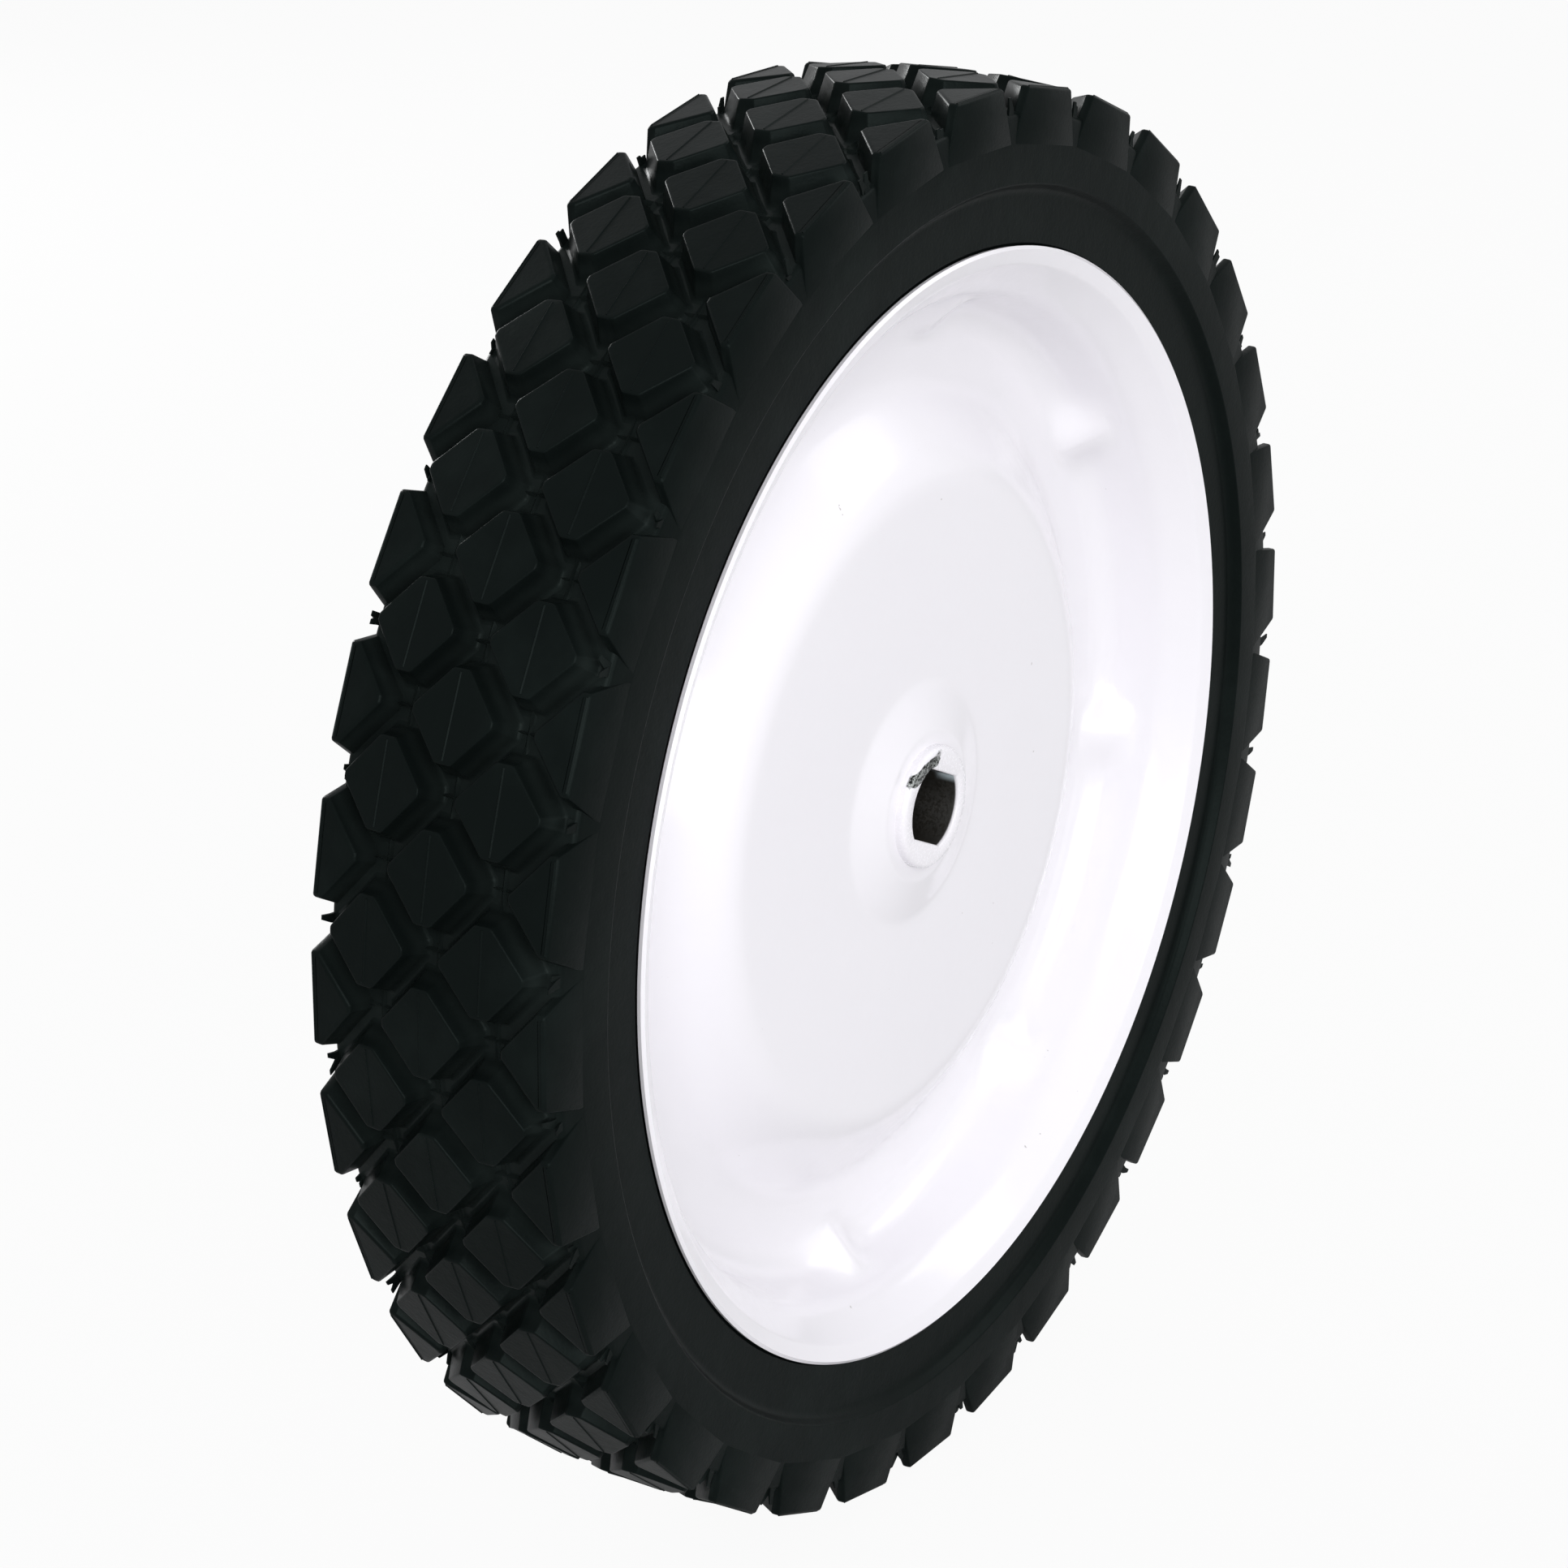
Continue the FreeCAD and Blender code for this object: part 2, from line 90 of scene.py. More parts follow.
# where the tyre seats on the discs: radius, distance from the middle, radius of the bend
SEAT_LINE = [
    (89.3, 0.0, 0.0),
    (91.9, 13.4, 1.0),
    (96.8, 18.3, 1.0),
    (99.4, 19.3, 0.2),
]

# marks of the mould on the tyre: flash lines, ragged fins and vent nibs
FLASH_HEIGHT = 0.16
FLASH_WIDTH = 0.5
FLASH_ROOT = 0.1
FLASH_END_GAP = 0.6
GROOVE_FLASH_HEIGHT = 0.5
FIN_HEIGHTS = (0.3, 0.9)
FIN_LENGTHWISE = 10.5
FIN_CROSSWISE = 8.0
FIN_HALF_WIDTH = 0.5
FIN_ROOT = 0.4
NIB_HEIGHTS = (0.5, 2.9)
NIB_LEANS = (0.4, 1.4)
NIB_SHIFTS = (0.15, 0.4)
NIB_WIDTH = 2.0
NIB_ROOT = 2.0

# discs
SHEET = 1.2
DISC_SEGMENTS = 640
FACE_ARC_STEP = 6.0
FACE_STEP = 1.6
BACK_EVERY = 3
RIM_ROUND = 0.35
HOLE_ROUND = 0.2
GUSSETS = 8
GUSSET_TURN = 35.0
GUSSET_FOOT = (79.0, 1.2)
GUSSET_TOP = (90.2, 13.3)
GUSSET_SPREAD = 6.2
GUSSET_INSET = 1.6
GUSSET_SOFTNESS = 2.4
GUSSET_OVERRUN = 2.5
GUSSET_FADE = 7.0
GUSSET_REACH = 8.0
GUSSET_DEPTH = 6.0

# a disc's outer face from the hub hole to its lip: radius, distance from the middle, radius of the bend
DISC_LINE = [
    (9.65, 12.9, 0.0),
    (13.8, 12.9, 3.0),
    (22.0, 10.6, 6.0),
    (59.5, 11.1, 11.0),
    (73.4, 1.2, 9.0),
    (87.3, 1.2, 6.0),
    (90.5, 14.0, 9.0),
    (95.8, 19.7, 2.0),
    (98.5, 20.9, 0.0),
]

# hub tube
HUB_SEGMENTS = 256
COLLAR_RADIUS = 11.1
COLLAR_TOP = 14.8
COLLAR_FOOT = 12.4
AXLE_ROUND = 15.9
AXLE_FLATS = 12.7
AXLE_TURN = -26.5
CHIP_PLACE = (-3.7, 8.2)
CHIP_LEAN = 15.5
CHIP_HALF_LENGTH = 5.4
CHIP_HALF_WIDTH = 1.2

# lamps: turn round the wheel and rise above it, then distance, width and height in metres, power in watts
LAMPS = [
    ("front_window", -48, 22, 1.6, 1.1, 1.1, 14.5),
    ("low_fill", -10, 4, 1.8, 1.0, 0.8, 6),
    ("right_fill", 55, 38, 1.8, 1.0, 0.8, 3.5),
    ("back_window", 160, 18, 1.6, 0.45, 0.45, 11),
]


def unit(angle):
    """A direction in a plane, from an angle in degrees."""
    return np.array([math.cos(math.radians(angle)), math.sin(math.radians(angle))])


def rounded_line(corners, step=12.0):
    """Points along a line through corners given as (x, y, radius), with each corner turned to an arc."""
    points = [np.array(corners[0][:2], float)]
    for (ax, ay, _), (bx, by, radius), (cx, cy, _) in zip(corners, corners[1:], corners[2:]):
        here = np.array([bx, by], float)
        if radius == 0:
            points.append(here)
            continue
        before = np.array([ax, ay]) - here
        after = np.array([cx, cy]) - here
        before /= np.linalg.norm(before)
        after /= np.linalg.norm(after)
        half = math.acos(np.clip(before @ after, -1, 1)) / 2
        middle = (before + after) / np.linalg.norm(before + after)
        centre = here + middle * radius / math.sin(half)
        start = here + before * radius / math.tan(half) - centre
        end = here + after * radius / math.tan(half) - centre
        swing = math.pi - 2 * half
        count = max(2, int(math.degrees(swing) / step) + 1)
        for i in range(count + 1):
            share = i / count
            spoke = start * math.sin((1 - share) * swing) + end * math.sin(share * swing)
            points.append(centre + spoke / math.sin(swing))
    points.append(np.array(corners[-1][:2], float))
    return np.array(points)


def refined(points, longest):
    """The same line with points added so that no stretch is longer than this."""
    dense = [points[0]]
    for start, end in zip(points, points[1:]):
        pieces = max(1, math.ceil(np.linalg.norm(end - start) / longest))
        dense += [start + (end - start) * i / pieces for i in range(1, pieces + 1)]
    return np.array(dense)


def make_piece(name, vertices, faces, nodes, material, sharp=35.0):
    """A shown piece that stands for CAD nodes. Vertices are in millimetres."""
    mesh = bpy.data.meshes.new(name)
    mesh.from_pydata((np.asarray(vertices) * MM).tolist(), [], faces)
    mesh.validate()
    mesh.shade_smooth()
    mesh.set_sharp_from_angle(angle=math.radians(sharp))
    mesh.materials.append(material)
    piece = bpy.data.objects.new(name, mesh)
    bpy.context.scene.collection.objects.link(piece)
    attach(piece, "root")
    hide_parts(*nodes)


def lathe(profile, segments):
    """Vertices and faces of a closed profile of (radius, y) points turned about the axle."""
    count = len(profile)
    angles = np.arange(segments) * 2 * math.pi / segments
    radius, height = np.asarray(profile).T
    x = np.cos(angles)[:, None] * radius
    z = np.sin(angles)[:, None] * radius
    y = np.broadcast_to(height, x.shape)
    vertices = np.stack([x, y, z], axis=-1).reshape(-1, 3)
    faces = []
    for turn in range(segments):
        here, there = turn * count, (turn + 1) % segments * count
        for i in range(count):
            j = (i + 1) % count
            faces.append((here + i, there + i, there + j, here + j))
    return vertices, faces


def rounded_polygon(edges, radius, steps=2):
    """A convex outline from edges given as (direction of the outward normal, distance), corners rounded."""
    points = []
    for (angle, distance), (next_angle, next_distance) in zip(edges, edges[1:] + edges[:1]):
        normals = np.array([unit(angle), unit(next_angle)])
        centre = np.linalg.solve(normals, np.array([distance - radius, next_distance - radius]))
        swing = (next_angle - angle) % 360
        for i in range(steps + 1):
            points.append(centre + radius * unit(angle + swing * i / steps))
    return np.array(points)


def stack_rings(rings):
    """Vertices and faces of a stack of rings, each with as many points, closed by a cap on the first."""
    count = len(rings[0])
    vertices = np.concatenate(rings)
    faces = [tuple(range(count))]
    for level in range(len(rings) - 1):
        upper, lower = level * count, (level + 1) * count
        for i in range(count):
            j = (i + 1) % count
            faces.append((upper + i, lower + i, lower + j, upper + j))
    return vertices, faces


def floor_drop(across):
    """How far the groove floor falls from the middle of the tread out to a place across it."""
    return FLOOR_DROP * np.abs(across) / FLOOR_HALF_WIDTH


def lug_levels(top, floor):
    """A lug's wall from its cap into the carcass: radius, spread outwards, and if it follows the floor."""
    overlap = 0.02
    draft = math.tan(math.radians(LUG_DRAFT))
    levels = [(top, -LUG_BEVEL - CAP_MARGIN, 0), (top, -LUG_BEVEL, 0)]
    for angle in (30, 60, 90):
        across, down = LUG_BEVEL * unit(angle)[1], LUG_BEVEL * (1 - unit(angle)[0])
        levels.append((top - down, across - LUG_BEVEL, 0))
    foot = (top - LUG_BEVEL - floor - LUG_FOOT_FILLET) * draft
    for angle in (0, 30, 60, 90):
        height = floor + LUG_FOOT_FILLET * (1 - unit(angle)[1])
        levels.append((height - overlap, foot + LUG_FOOT_FILLET * (1 - unit(angle)[0]), 1))
    levels.append((floor - LUG_ROOT, foot + 1.3 * LUG_FOOT_FILLET, 1))
    return levels


def groove_slope():
    """The angle between the grooves and the line round the tread."""
    return math.degrees(math.atan2(ROW_SPACING, math.pi * TYRE_RADIUS / PITCHES))


def lug_edges(spread):
    """The edges of a diamond lug's outline: long sides along the grooves, and cut ends and sides."""
    slope = groove_slope()
    side = ROW_SPACING * math.cos(math.radians(slope)) - GROOVE_WIDTH / 2 + spread
    end = LUG_LENGTH / 2 + spread
    tip = LUG_WIDTH / 2 + spread
    return [(0, end), (90 - slope, side), (90, tip), (90 + slope, side),
            (180, end), (270 - slope, side), (270, tip), (270 + slope, side)]


def flash_line(top, length):
    """A thin raised line along a lug's top, where the mould's parts met."""
    half = FLASH_WIDTH / 2
    root = top - FLASH_ROOT
    points = []
    for along in (-length / 2, length / 2):
        points += [(along, -half, root), (along, 0, top + FLASH_HEIGHT), (along, half, root)]
    return np.array(points), [(0, 3, 4, 1), (1, 4, 5, 2), (0, 1, 2), (3, 5, 4)]


def diamond_lug(top, row, lean):
    """One diamond lug, as points along the tread, across it and out from the axle."""
    floor = TYRE_RADIUS - GROOVE_DEPTH - floor_drop(row)
    rings = []
    for height, spread, follows in lug_levels(top, floor):
        along, across = rounded_polygon(lug_edges(spread), LUG_CORNER).T
        bend = floor_drop(row + across) - floor_drop(row) + along ** 2 / (2 * floor)
        out = height - (bend if follows else lean * across)
        rings.append(np.column_stack([along, across, out]))
    return stack_rings(rings)


def shoulder_lug(top, lean):
    """One shoulder lug: half a diamond carried over the edge and down the sidewall between two notches."""
    draft = math.tan(math.radians(SHOULDER_DRAFT))
    flare = draft / math.sin(math.radians(groove_slope()))
    edge = TYRE_HALF_WIDTH - 2 * ROW_SPACING
    levels = [(0.0, -SHOULDER_BEVEL - CAP_MARGIN), (0.0, -SHOULDER_BEVEL)]
    for angle in (30, 60, 90):
        levels.append((SHOULDER_BEVEL * (1 - unit(angle)[0]), SHOULDER_BEVEL * (unit(angle)[1] - 1)))
    foot = top - NOTCH_FOOT_RADIUS
    levels += [(foot * 0.5, 0.0), (foot, 0.0), (foot + SHOULDER_ROOT, 0.0)]
    rings = []
    for down, inset in levels:
        end = SHOULDER_LENGTH / 2 + inset + down * flare
        sunk = LUG_ROOT if down > foot else 0.0
        edges = [(0, end), (90, edge + inset - sunk), (180, end)]
        edges += lug_edges(inset + down * draft)[5:]
        along, across = rounded_polygon(edges, SHOULDER_CORNER).T
        rings.append(np.column_stack([along, across, top - down - lean * across]))
    return stack_rings(rings)


def placed(vertices, turn, row, flipped=False):
    """A lug's points set on the wheel: turned round the axle, at a row across the tread (towards -Y)."""
    along, across, out = vertices.T
    if flipped:
        along, across = -along, -across
    radial = unit(turn)
    x = out * radial[0] - along * radial[1]
    z = out * radial[1] + along * radial[0]
    return np.column_stack([x, -(row + across), z])


def carcass_profile():
    """The tyre's section without its lugs, as one closed line."""
    floor = TYRE_RADIUS - GROOVE_DEPTH
    band = TYRE_HALF_WIDTH - STEP_HEIGHT
    mid = floor - floor_drop(ROW_SPACING)
    corners = SEAT_LINE + [
        (SEAT_LINE[-1][0], band, 0.2),
        (STEP_RADIUS - STEP_RUN, band, 1.8),
        (STEP_RADIUS, TYRE_HALF_WIDTH, 0.4),
        (NOTCH_FOOT_RADIUS, TYRE_HALF_WIDTH, 3.0),
        (floor - FLOOR_DROP, FLOOR_HALF_WIDTH, 1.2),
        (mid, ROW_SPACING + FLASH_WIDTH, 0.0),
        (mid + GROOVE_FLASH_HEIGHT, ROW_SPACING, 0.0),
        (mid, ROW_SPACING - FLASH_WIDTH, 0.0),
        (floor, FLASH_WIDTH, 0.0),
        (floor + GROOVE_FLASH_HEIGHT, 0.0, 0.0),
    ]
    half = rounded_line(corners, 20)
    mirror = half[-2:0:-1] * [1, -1]
    return np.concatenate([half, mirror])


def vent_nib(foot, top, width, lean):
    """A thin ragged nib of rubber, left where a vent of the mould let the air out."""
    rings = []
    for share, along, across in ((1.0, 0.4, 0.12), (0.6, 0.7, 0.2), (0.0, 1.0, 0.3)):
        half = np.array([along * width / 2, across])
        corners = np.array([(1, -1), (1, 1), (-1, 1), (-1, -1)]) * half
        shift = np.array([lean * share ** 2, 0.3 * lean * share])
        height = foot + (top - foot) * share
        rings.append(np.column_stack([corners + shift, np.full(4, height)]))
    return stack_rings(rings)


def flash_fin(foot, heights, length, crosswise):
    """A low ragged fin between the tips of two lugs, along the tread or across it."""
    points = []
    for place, height in zip(np.linspace(-length / 2, length / 2, len(heights)), heights):
        for side, level in ((-1, -FIN_ROOT), (0, height), (1, -FIN_ROOT)):
            points.append((place, side * FIN_HALF_WIDTH, foot + level))
    faces = []
    for i in range(len(heights) - 1):
        near, far = 3 * i, 3 * i + 3
        faces += [(near, far, far + 1, near + 1), (near + 1, far + 1, far + 2, near + 2)]
    points = np.array(points)
    if crosswise:
        points = points[:, [1, 0, 2]] * [-1, 1, 1]
    return points, faces


def make_tyre(material):
    """The tyre: a turned carcass with rows of moulded lugs."""
    pitch = 360 / PITCHES
    lean = SHOULDER_DROP / (2 * ROW_SPACING)
    mid_top = TYRE_RADIUS - MID_ROW_DROP
    shoulder_top = TYRE_RADIUS - SHOULDER_DROP
    line_length = LUG_LENGTH - 2 * FLASH_END_GAP
    shoulder_line = SHOULDER_LENGTH - 2 * FLASH_END_GAP
    centre_top = TYRE_RADIUS - FLASH_HEIGHT - BOX_CLEARANCE
    centre = [diamond_lug(centre_top, 0, 0), flash_line(centre_top, line_length)]
    mid = [diamond_lug(mid_top, ROW_SPACING, lean), flash_line(mid_top, line_length)]
    shoulder = [shoulder_lug(shoulder_top, lean), flash_line(shoulder_top, shoulder_line)]
    parts = [lathe(carcass_profile(), PITCHES * SEGMENTS_PER_PITCH)]
    chance = np.random.default_rng(7)
    for i in range(PITCHES):
        turn = TREAD_TURN + i * pitch
        parts += [(placed(points, turn, 0), faces) for points, faces in centre]
        for row in range(-2, 3):
            angle = turn + pitch / 2 * (1 if row % 2 == 0 else 2)
            foot = TYRE_RADIUS - GROOVE_DEPTH - floor_drop(row * ROW_SPACING)
            if abs(row) == 2:
                fins = []
                for lean_way in (-1, 1):
                    tip = foot + chance.uniform(*NIB_HEIGHTS)
                    nib_lean = lean_way * chance.uniform(*NIB_LEANS)
                    nib = vent_nib(foot - NIB_ROOT, tip, NIB_WIDTH, nib_lean)
                    fins.append((nib, row * (ROW_SPACING - chance.uniform(*NIB_SHIFTS))))
            else:
                lengthwise = flash_fin(foot, chance.uniform(*FIN_HEIGHTS, 5), FIN_LENGTHWISE, False)
                crosswise = flash_fin(foot, chance.uniform(*FIN_HEIGHTS, 4), FIN_CROSSWISE, True)
                fins = [(lengthwise, row * ROW_SPACING), (crosswise, row * ROW_SPACING)]
            parts += [(placed(points, angle, across), faces) for (points, faces), across in fins]
        for flipped, side in ((False, 1), (True, -1)):
            for shape, row, angle in ((mid, 1, turn + pitch / 2), (shoulder, 2, turn)):
                across = side * row * ROW_SPACING
                parts += [(placed(points, angle, across, flipped), faces) for points, faces in shape]
    vertices, faces = [], []
    count = 0
    for points, polygons in parts:
        vertices.append(points)
        faces += [tuple(v + count for v in polygon) for polygon in polygons]
        count += len(points)
    make_piece("tyre_moulding", np.concatenate(vertices), faces, ["tyre"], material)


def smooth_above(value, softness):
    """Value where it is above zero and zero below, with a soft bend between."""
    bent = 0.5 * (value + np.sqrt(value * value + softness * softness))
    return bent - 0.5 * softness * np.exp(-np.abs(value) / softness)


def raise_gussets(points):
    """Presses soft ribs out of the disc, across the foot of its wall. Points have the face towards +Y."""
    x, y, z = points.T
    radius = np.hypot(x, z)
    turn = np.degrees(np.arctan2(z, x)) - GUSSET_TURN
    step = 360 / GUSSETS
    off = np.radians((turn + step / 2) % step - step / 2) * radius
    foot, top = np.array(GUSSET_FOOT), np.array(GUSSET_TOP)
    along = (top - foot) / np.linalg.norm(top - foot)
    behind = (radius - foot[0]) * along[1] - (y - foot[1]) * along[0]
    swell = np.exp(-(off / GUSSET_SPREAD) ** 2)
    length = np.linalg.norm(top - foot)
    travel = (radius - foot[0]) * along[0] + (y - foot[1]) * along[1]
    fade = np.clip((length + GUSSET_OVERRUN - travel) / GUSSET_FADE, 0, 1)
    fade = fade * fade * (3 - 2 * fade)
    near = (behind > -GUSSET_DEPTH) & (travel > -GUSSET_REACH) & (radius > foot[0] - GUSSET_REACH)
    lift = np.where(near, smooth_above(behind - GUSSET_INSET, GUSSET_SOFTNESS) * swell * fade, 0.0)
    new_radius = radius - lift * along[1]
    scale = new_radius / radius
    return np.column_stack([x * scale, y + lift * along[0], z * scale])


def make_disc(name, node, facing, material):
    """One pressed disc, its outer face towards -Y (facing -1) or +Y."""
    face = refined(rounded_line(DISC_LINE, FACE_ARC_STEP), FACE_STEP)
    along = np.gradient(face, axis=0)
    along /= np.linalg.norm(along, axis=1)[:, None]
    through = np.column_stack([along[:, 1], -along[:, 0]]) * SHEET
    back = (face + through)[::-1][::BACK_EVERY]
    edge = face[-1] + along[-1] * RIM_ROUND + through[-1] / 2
    inner = face[0] - along[0] * HOLE_ROUND + through[0] / 2
    profile = np.concatenate([face, [edge], back, [inner]])
    profile[:, 1] = np.maximum(profile[:, 1], 0.0)
    vertices, faces = lathe(profile, DISC_SEGMENTS)
    vertices = raise_gussets(vertices)
    if facing < 0:
        vertices = vertices * [1, -1, 1]
        faces = [polygon[::-1] for polygon in faces]
    make_piece(name, vertices, faces, [node], material, sharp=50.0)


def make_hub_tube(material):
    """The tube through both discs, with a rounded collar at each end and a double-D hole."""
    angles = np.arange(HUB_SEGMENTS) * 360 / HUB_SEGMENTS
    rays = np.array([unit(angle) for angle in angles])
    flat = np.abs(np.sin(np.radians(angles - AXLE_TURN)))
    hole = np.minimum(AXLE_ROUND / 2, AXLE_FLATS / 2 / np.maximum(flat, 1e-6))
    # the rounded edges: how far from the hole or in from the rim, and how far down from the collar's top
    hole_edge = [(0.0, 0.35), (0.12, 0.12), (0.35, 0.0)]
    rim_edge = [(0.9, 0.0), (0.4, 0.12), (0.1, 0.45), (0.0, 0.9)]
    rings = [(hole + out, COLLAR_TOP - down) for out, down in hole_edge]
    rings += [(COLLAR_RADIUS - inset, COLLAR_TOP - down) for inset, down in rim_edge]
    rings.append((COLLAR_RADIUS, COLLAR_FOOT))
    rings += [(radius, -height) for radius, height in rings[::-1]]
    vertices = []
    for radius, height in rings:
        flatwise = rays * np.broadcast_to(radius, HUB_SEGMENTS)[:, None]
        level = np.full(HUB_SEGMENTS, height)
        vertices.append(np.column_stack([flatwise[:, 0], level, flatwise[:, 1]]))
    faces = []
    for ring in range(len(rings)):
        here, there = ring * HUB_SEGMENTS, (ring + 1) % len(rings) * HUB_SEGMENTS
        for i in range(HUB_SEGMENTS):
            j = (i + 1) % HUB_SEGMENTS
            faces.append((here + i, here + j, there + j, there + i))
    tube = np.concatenate(vertices)
    make_piece("hub_collar_tube", tube, faces, ["hub_tube"], material, sharp=40.0)


class Value:
    """A socket in a material's node tree that plain arithmetic works on."""

    def __init__(self, tree, socket):
        self.tree = tree
        self.socket = socket

    def _math(self, operation, first, second):
        node = self.tree.nodes.new("ShaderNodeMath")
        node.operation = operation
        for socket, value in zip(node.inputs, (first, second)):
            if isinstance(value, Value):
                self.tree.links.new(value.socket, socket)
            else:
                socket.default_value = value
        return Value(self.tree, node.outputs[0])

    def __add__(self, other):
        return self._math("ADD", self, other)

    def __radd__(self, other):
        return self._math("ADD", other, self)

    def __sub__(self, other):
        return self._math("SUBTRACT", self, other)

    def __rsub__(self, other):
        return self._math("SUBTRACT", other, self)

    def __mul__(self, other):
        return self._math("MULTIPLY", self, other)

    def __rmul__(self, other):
        return self._math("MULTIPLY", other, self)

    def __truediv__(self, other):
        return self._math("DIVIDE", self, other)

    def __rtruediv__(self, other):
        return self._math("DIVIDE", other, self)

    def __pow__(self, other):
        return self._math("POWER", self, other)

    def __rpow__(self, other):
        return self._math("POWER", other, self)

    def __abs__(self):
        return self._math("ABSOLUTE", self, 0.0)


class Nodes:
    """A node tree and the way to fill it."""

    def __init__(self, tree):
        self.tree = tree
        self.tree.nodes.clear()

    def connect(self, node, inputs):
        """Sets or links a node's inputs by name or identifier, with _ for a space."""
        for name, value in inputs.items():
            wanted = name.replace("_", " ")
            socket = next(s for s in node.inputs
                          if s.enabled and wanted in (s.name, s.identifier.replace("_", " ")))
            if isinstance(value, Value):
                self.tree.links.new(value.socket, socket)
            else:
                socket.default_value = value

    def node(self, kind, settings, output=0, **inputs):
        """A new node: its settings first, then its inputs. Gives back one of its outputs."""
        node = self.tree.nodes.new(kind)
        for name, value in settings.items():
            setattr(node, name, value)
        self.connect(node, inputs)
        if output == 0:
            output = next(i for i, s in enumerate(node.outputs) if s.enabled)
        return Value(self.tree, node.outputs[output])


class Finish(Nodes):
    """A material and the nodes it is made of."""

    def __init__(self, name, **constants):
        self.material = bpy.data.materials.new(name)
        self.material.use_nodes = True
        super().__init__(self.material.node_tree)
        self.shader = self.tree.nodes.new("ShaderNodeBsdfPrincipled")
        self.output = self.tree.nodes.new("ShaderNodeOutputMaterial")
        self.tree.links.new(self.shader.outputs[0], self.output.inputs["Surface"])
        self.connect(self.shader, constants)
        self.place = self.node("ShaderNodeTexCoord", {}, "Object")

    def noise(self, scale, detail=4.0, roughness=0.55):
        """Even noise from 0 to 1, with so many lumps to the metre."""
        return self.node("ShaderNodeTexNoise", {}, Vector=self.place, Scale=scale, Detail=detail,
                         Roughness=roughness)

    def between(self, value, low, high, start=0.0, end=1.0):
        """Value taken from one range to another, with soft ends and no overshoot."""
        return self.node("ShaderNodeMapRange", {"interpolation_type": "SMOOTHSTEP"}, Value=value,
                         From_Min=low, From_Max=high, To_Min=start, To_Max=end)

    def mix(self, share, first, second):
        """One colour going over to another."""
        return self.node("ShaderNodeMix", {"data_type": "RGBA"}, Factor=share, A=first, B=second)

    def along(self, axis):
        """How far a point of the piece lies along an axis, in metres."""
        return self.node("ShaderNodeSeparateXYZ", {}, axis, Vector=self.place)

    def from_axle(self):
        """How far a point of the piece lies from the axle, in metres."""
        return (self.along("X") ** 2.0 + self.along("Z") ** 2.0) ** 0.5

    def bump(self, height, distance, strength=1.0, **more):
        """A surface normal from a height field, in metres."""
        return self.node("ShaderNodeBump", {}, Height=height, Distance=distance, Strength=strength, **more)


def tyre_rubber():
    """Black moulded rubber: satin, with faint dust, mould bloom and a fine grain, and painted light that
    lifts the grooves out of their shade.
    """
    finish = Finish("tyre_rubber", IOR=1.5, Specular_IOR_Level=0.05, Specular_Tint=(0.80, 1.0, 0.96, 1))
    patches = finish.noise(38, 5.0)
    grain = finish.noise(1600, 3.0)
    smears = finish.noise(140, 4.0)
    dust = finish.between(patches * 0.6 + smears * 0.4, 0.45, 0.72)
    colour = finish.mix(dust * 0.55, (0.0038, 0.0056, 0.0053, 1), (0.0078, 0.0112, 0.0105, 1))
    # Painted light: the grooves' floors and walls, below the lug tops and inside the sidewalls, get a
    # lighter colour to offset the shade that falls in them; the dust patches vary how much.
    radius = finish.from_axle()
    groove = finish.between(radius, 0.1165, 0.1185) * finish.between(radius, 0.1235, 0.1258, 1.0, 0.0)
    groove = groove * finish.between(abs(finish.along("Y")), 0.0200, 0.0215, 1.0, 0.0)
    colour = finish.mix(groove * (0.5 + dust * 0.5), colour, (0.0125, 0.0170, 0.0160, 1))
    roughness = finish.between(smears * 0.6 + grain * 0.4, 0.3, 0.7, 0.28, 0.33)
    fine = finish.bump(grain, 0.00006, 0.45)
    normal = finish.bump(smears, 0.00035, 0.3, Normal=fine)
    finish.connect(finish.shader, {"Base_Color": colour, "Roughness": roughness, "Normal": normal})
    return finish.material


def white_enamel():
    """Glossy white stove enamel: slight orange peel, and a few specks of dust."""
    finish = Finish("white_enamel", IOR=1.5, Coat_Roughness=0.06, Coat_IOR=1.5)
    cloud = finish.noise(26, 4.0)
    peel = finish.noise(520, 2.0)
    specks = finish.between(finish.noise(420, 2.0, 0.7), 0.765, 0.795)
    clean = finish.mix(cloud, (0.848, 0.828, 0.872, 1), (0.866, 0.848, 0.887, 1))
    colour = finish.mix(specks * 0.55, clean, (0.26, 0.23, 0.20, 1))
    roughness = finish.between(cloud * 0.7 + peel * 0.3, 0.3, 0.7, 0.17, 0.265)
    normal = finish.bump(peel, 0.00010, 0.16)
    finish.connect(finish.shader, {"Base_Color": colour, "Roughness": roughness, "Normal": normal})
    finish.connect(finish.shader, {"Coat_Weight": 0.3 - specks * 0.25})
    return finish.material


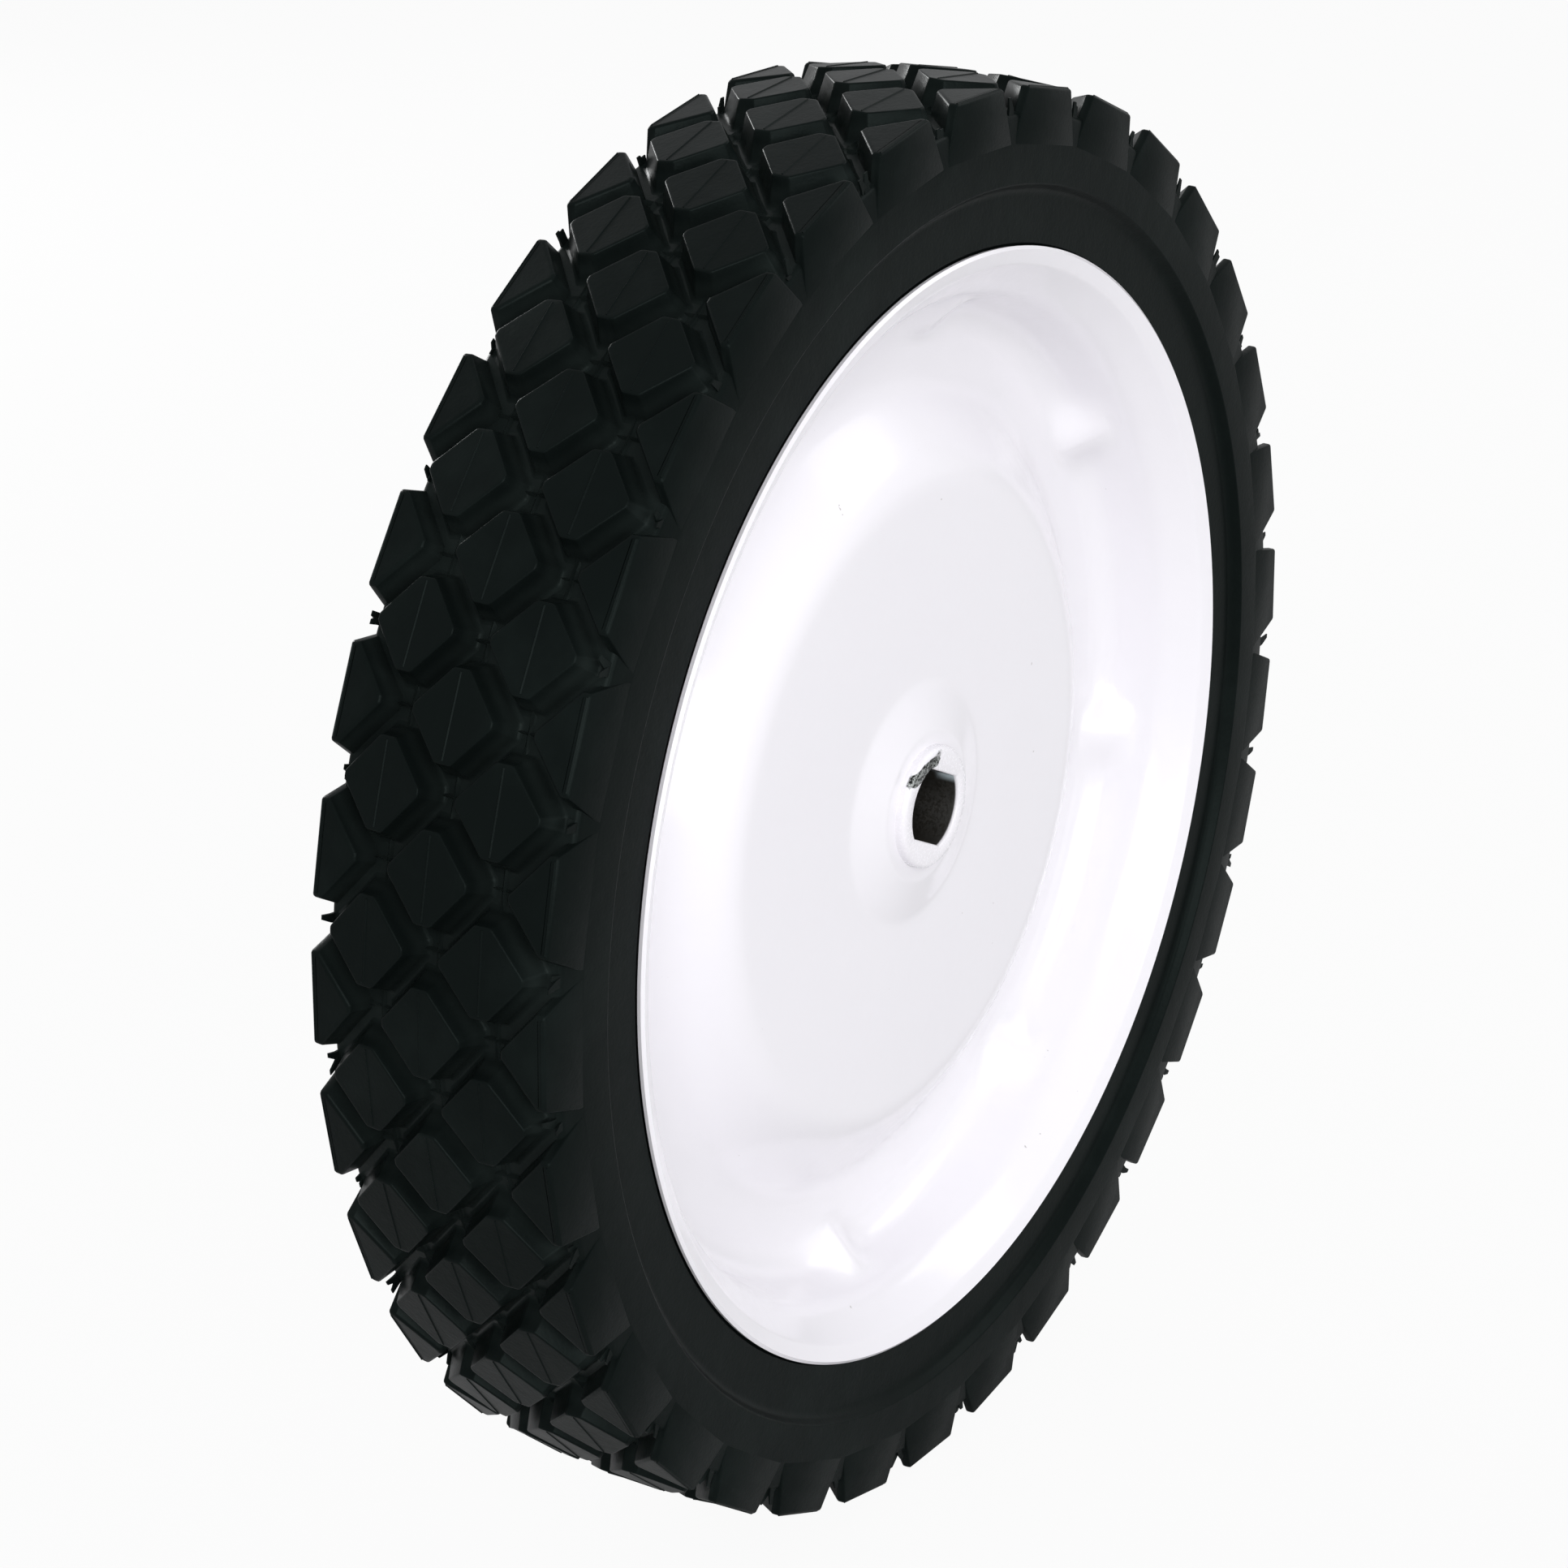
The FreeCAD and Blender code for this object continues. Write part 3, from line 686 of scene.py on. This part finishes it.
def hub_enamel():
    """The same enamel on the tube, with the steel in the hole oxidised dark, a painted glint on the hole's
    inner wall, and one long chip beside it.
    """
    finish = Finish("hub_enamel_and_steel", IOR=1.5)
    wander = finish.noise(420, 4.0, 0.6)
    place, depth, height = (finish.along(axis) for axis in "XYZ")
    below_top = finish.between(abs(depth), 0.0140, 0.0144, 1.0, 0.0)
    inside = finish.between(finish.from_axle(), 0.0087, 0.0090, 1.0, 0.0) * below_top
    aside = place - CHIP_PLACE[0] * MM
    above = height - CHIP_PLACE[1] * MM
    lean_aside, lean_above = unit(CHIP_LEAN)
    along = (aside * lean_aside + above * lean_above) / (CHIP_HALF_LENGTH * MM)
    across = (above * lean_aside - aside * lean_above) / (CHIP_HALF_WIDTH * MM)
    spread = (along ** 4.0 + across ** 4.0) ** 0.25
    chip = finish.between(spread + (wander - 0.5) * 1.2, 0.85, 1.0, 1.0, 0.0)
    chip = chip * finish.between(depth, -0.0140, -0.0136, 1.0, 0.0)
    streaks = finish.between(finish.noise(2200, 3.0, 0.65), 0.4, 0.62)
    steel = finish.mix(streaks, (0.012, 0.013, 0.012, 1), (0.46, 0.48, 0.47, 1))
    hole_colour = finish.mix(wander, (0.005, 0.005, 0.004, 1), (0.016, 0.014, 0.011, 1))
    colour = finish.mix(chip, (0.857, 0.838, 0.879, 1), steel)
    # Painted highlight: a bluish-white glint, painted on the upper right of the hole's inner wall near its
    # front end.
    painted_glint = finish.between(depth + (wander - 0.5) * 0.004, -0.0125, -0.0095, 1.0, 0.0)
    painted_glint = painted_glint * finish.between(place * 0.62 + height * 0.78, 0.0062, 0.0074)
    hole_colour = finish.mix(painted_glint, hole_colour, (0.50, 0.58, 0.62, 1))
    colour = finish.mix(inside, colour, hole_colour)
    roughness = finish.between(streaks * 0.5 + inside * 0.5 + chip * 0.3, 0.2, 0.9, 0.20, 0.55)
    normal = finish.bump(wander * 0.4 - chip, 0.00015, 0.5)
    finish.connect(finish.shader, {"Base_Color": colour, "Roughness": roughness, "Metallic": chip * 0.8})
    finish.connect(finish.shader, {"Normal": normal})
    return finish.material


def soft_lamp(name, turn, rise, distance, width, height, power):
    """A rectangular soft lamp that looks at the wheel from a direction round it and above."""
    lamp = bpy.data.lights.new(name, "AREA")
    lamp.shape = "RECTANGLE"
    lamp.size = width
    lamp.size_y = height
    lamp.energy = power
    holder = bpy.data.objects.new(name, lamp)
    flat, up = math.cos(math.radians(rise)), math.sin(math.radians(rise))
    turn = math.radians(turn)
    back = Vector((math.sin(turn) * flat, -math.cos(turn) * flat, up))
    facing = back.to_track_quat("Z", "Y").to_matrix().to_4x4()
    holder.matrix_world = Matrix.Translation(back * distance) @ facing
    bpy.context.scene.collection.objects.link(holder)


def make_floor():
    """A plain pale floor that the wheel stands on."""
    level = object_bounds()[0][2]
    half = 6.0
    seen_share = 0.94
    corners = [(-half, -half, level), (half, -half, level), (half, half, level), (-half, half, level)]
    mesh = bpy.data.meshes.new("studio_floor")
    mesh.from_pydata(corners, [], [(0, 1, 2, 3)])
    floor = bpy.data.objects.new("studio_floor", mesh)
    finish = Finish("studio_paper", Roughness=0.9, Specular_IOR_Level=0.1)
    colour = finish.mix(finish.noise(60, 3.0), (0.50, 0.50, 0.50, 1), (0.53, 0.53, 0.53, 1))
    finish.connect(finish.shader, {"Base_Color": colour})
    seen = finish.node("ShaderNodeLightPath", {}, "Is Camera Ray")
    glow = finish.node("ShaderNodeEmission", {}, Color=(1, 1, 1, 1), Strength=1.0)
    paper = Value(finish.tree, finish.shader.outputs[0])
    both = finish.node("ShaderNodeMixShader", {}, Fac=seen * seen_share, Shader=paper, Shader_001=glow)
    finish.connect(finish.output, {"Surface": both})
    mesh.materials.append(finish.material)
    bpy.context.scene.collection.objects.link(floor)


def make_world():
    """An even white surround, seen as pure white."""
    world = bpy.data.worlds.new("studio")
    world.use_nodes = True
    surround = Nodes(world.node_tree)
    output = surround.tree.nodes.new("ShaderNodeOutputWorld")
    seen = surround.node("ShaderNodeLightPath", {}, "Is Camera Ray")
    lit = surround.node("ShaderNodeBackground", {}, Color=(0.98, 0.99, 1.0, 1), Strength=0.6)
    white = surround.node("ShaderNodeBackground", {}, Color=(1, 1, 1, 1), Strength=1.0)
    both = surround.node("ShaderNodeMixShader", {}, Fac=seen, Shader=lit, Shader_001=white)
    surround.connect(output, {"Surface": both})
    bpy.context.scene.world = world


def make_camera():
    """The photo's camera: its place, and where the wheel's middle falls in a picture 1932 pixels wide."""
    sensor = 36.0
    picture, focal = 1932.0, 4050.6
    middle = (1064.9, 974.5)
    turn, rise, depth = math.radians(-57.438), math.radians(21.67), 0.5865
    right = Vector((math.cos(turn), math.sin(turn), 0))
    back = Vector((math.sin(turn) * math.cos(rise), -math.cos(turn) * math.cos(rise), math.sin(rise)))
    up = back.cross(right)
    aside = (middle[0] - picture / 2) / focal * depth
    above = (picture / 2 - middle[1]) / focal * depth
    spot = back * depth - right * aside - up * above
    camera = bpy.data.cameras.new("photo_camera")
    camera.sensor_width = sensor
    camera.lens = sensor * focal / picture
    camera.clip_start = 0.01
    holder = bpy.data.objects.new("photo_camera", camera)
    turned = Matrix((right, up, back)).transposed()
    holder.matrix_world = Matrix.Translation(spot) @ turned.to_4x4()
    bpy.context.scene.collection.objects.link(holder)
    bpy.context.scene.camera = holder


enamel = white_enamel()
make_tyre(tyre_rubber())
make_disc("outer_pressing", "outer_disc", -1, enamel)
make_disc("inner_pressing", "inner_disc", 1, enamel)
make_hub_tube(hub_enamel())
make_floor()
make_world()
for lamp in LAMPS:
    soft_lamp(*lamp)
make_camera()
bpy.context.scene.view_settings.view_transform = "Standard"
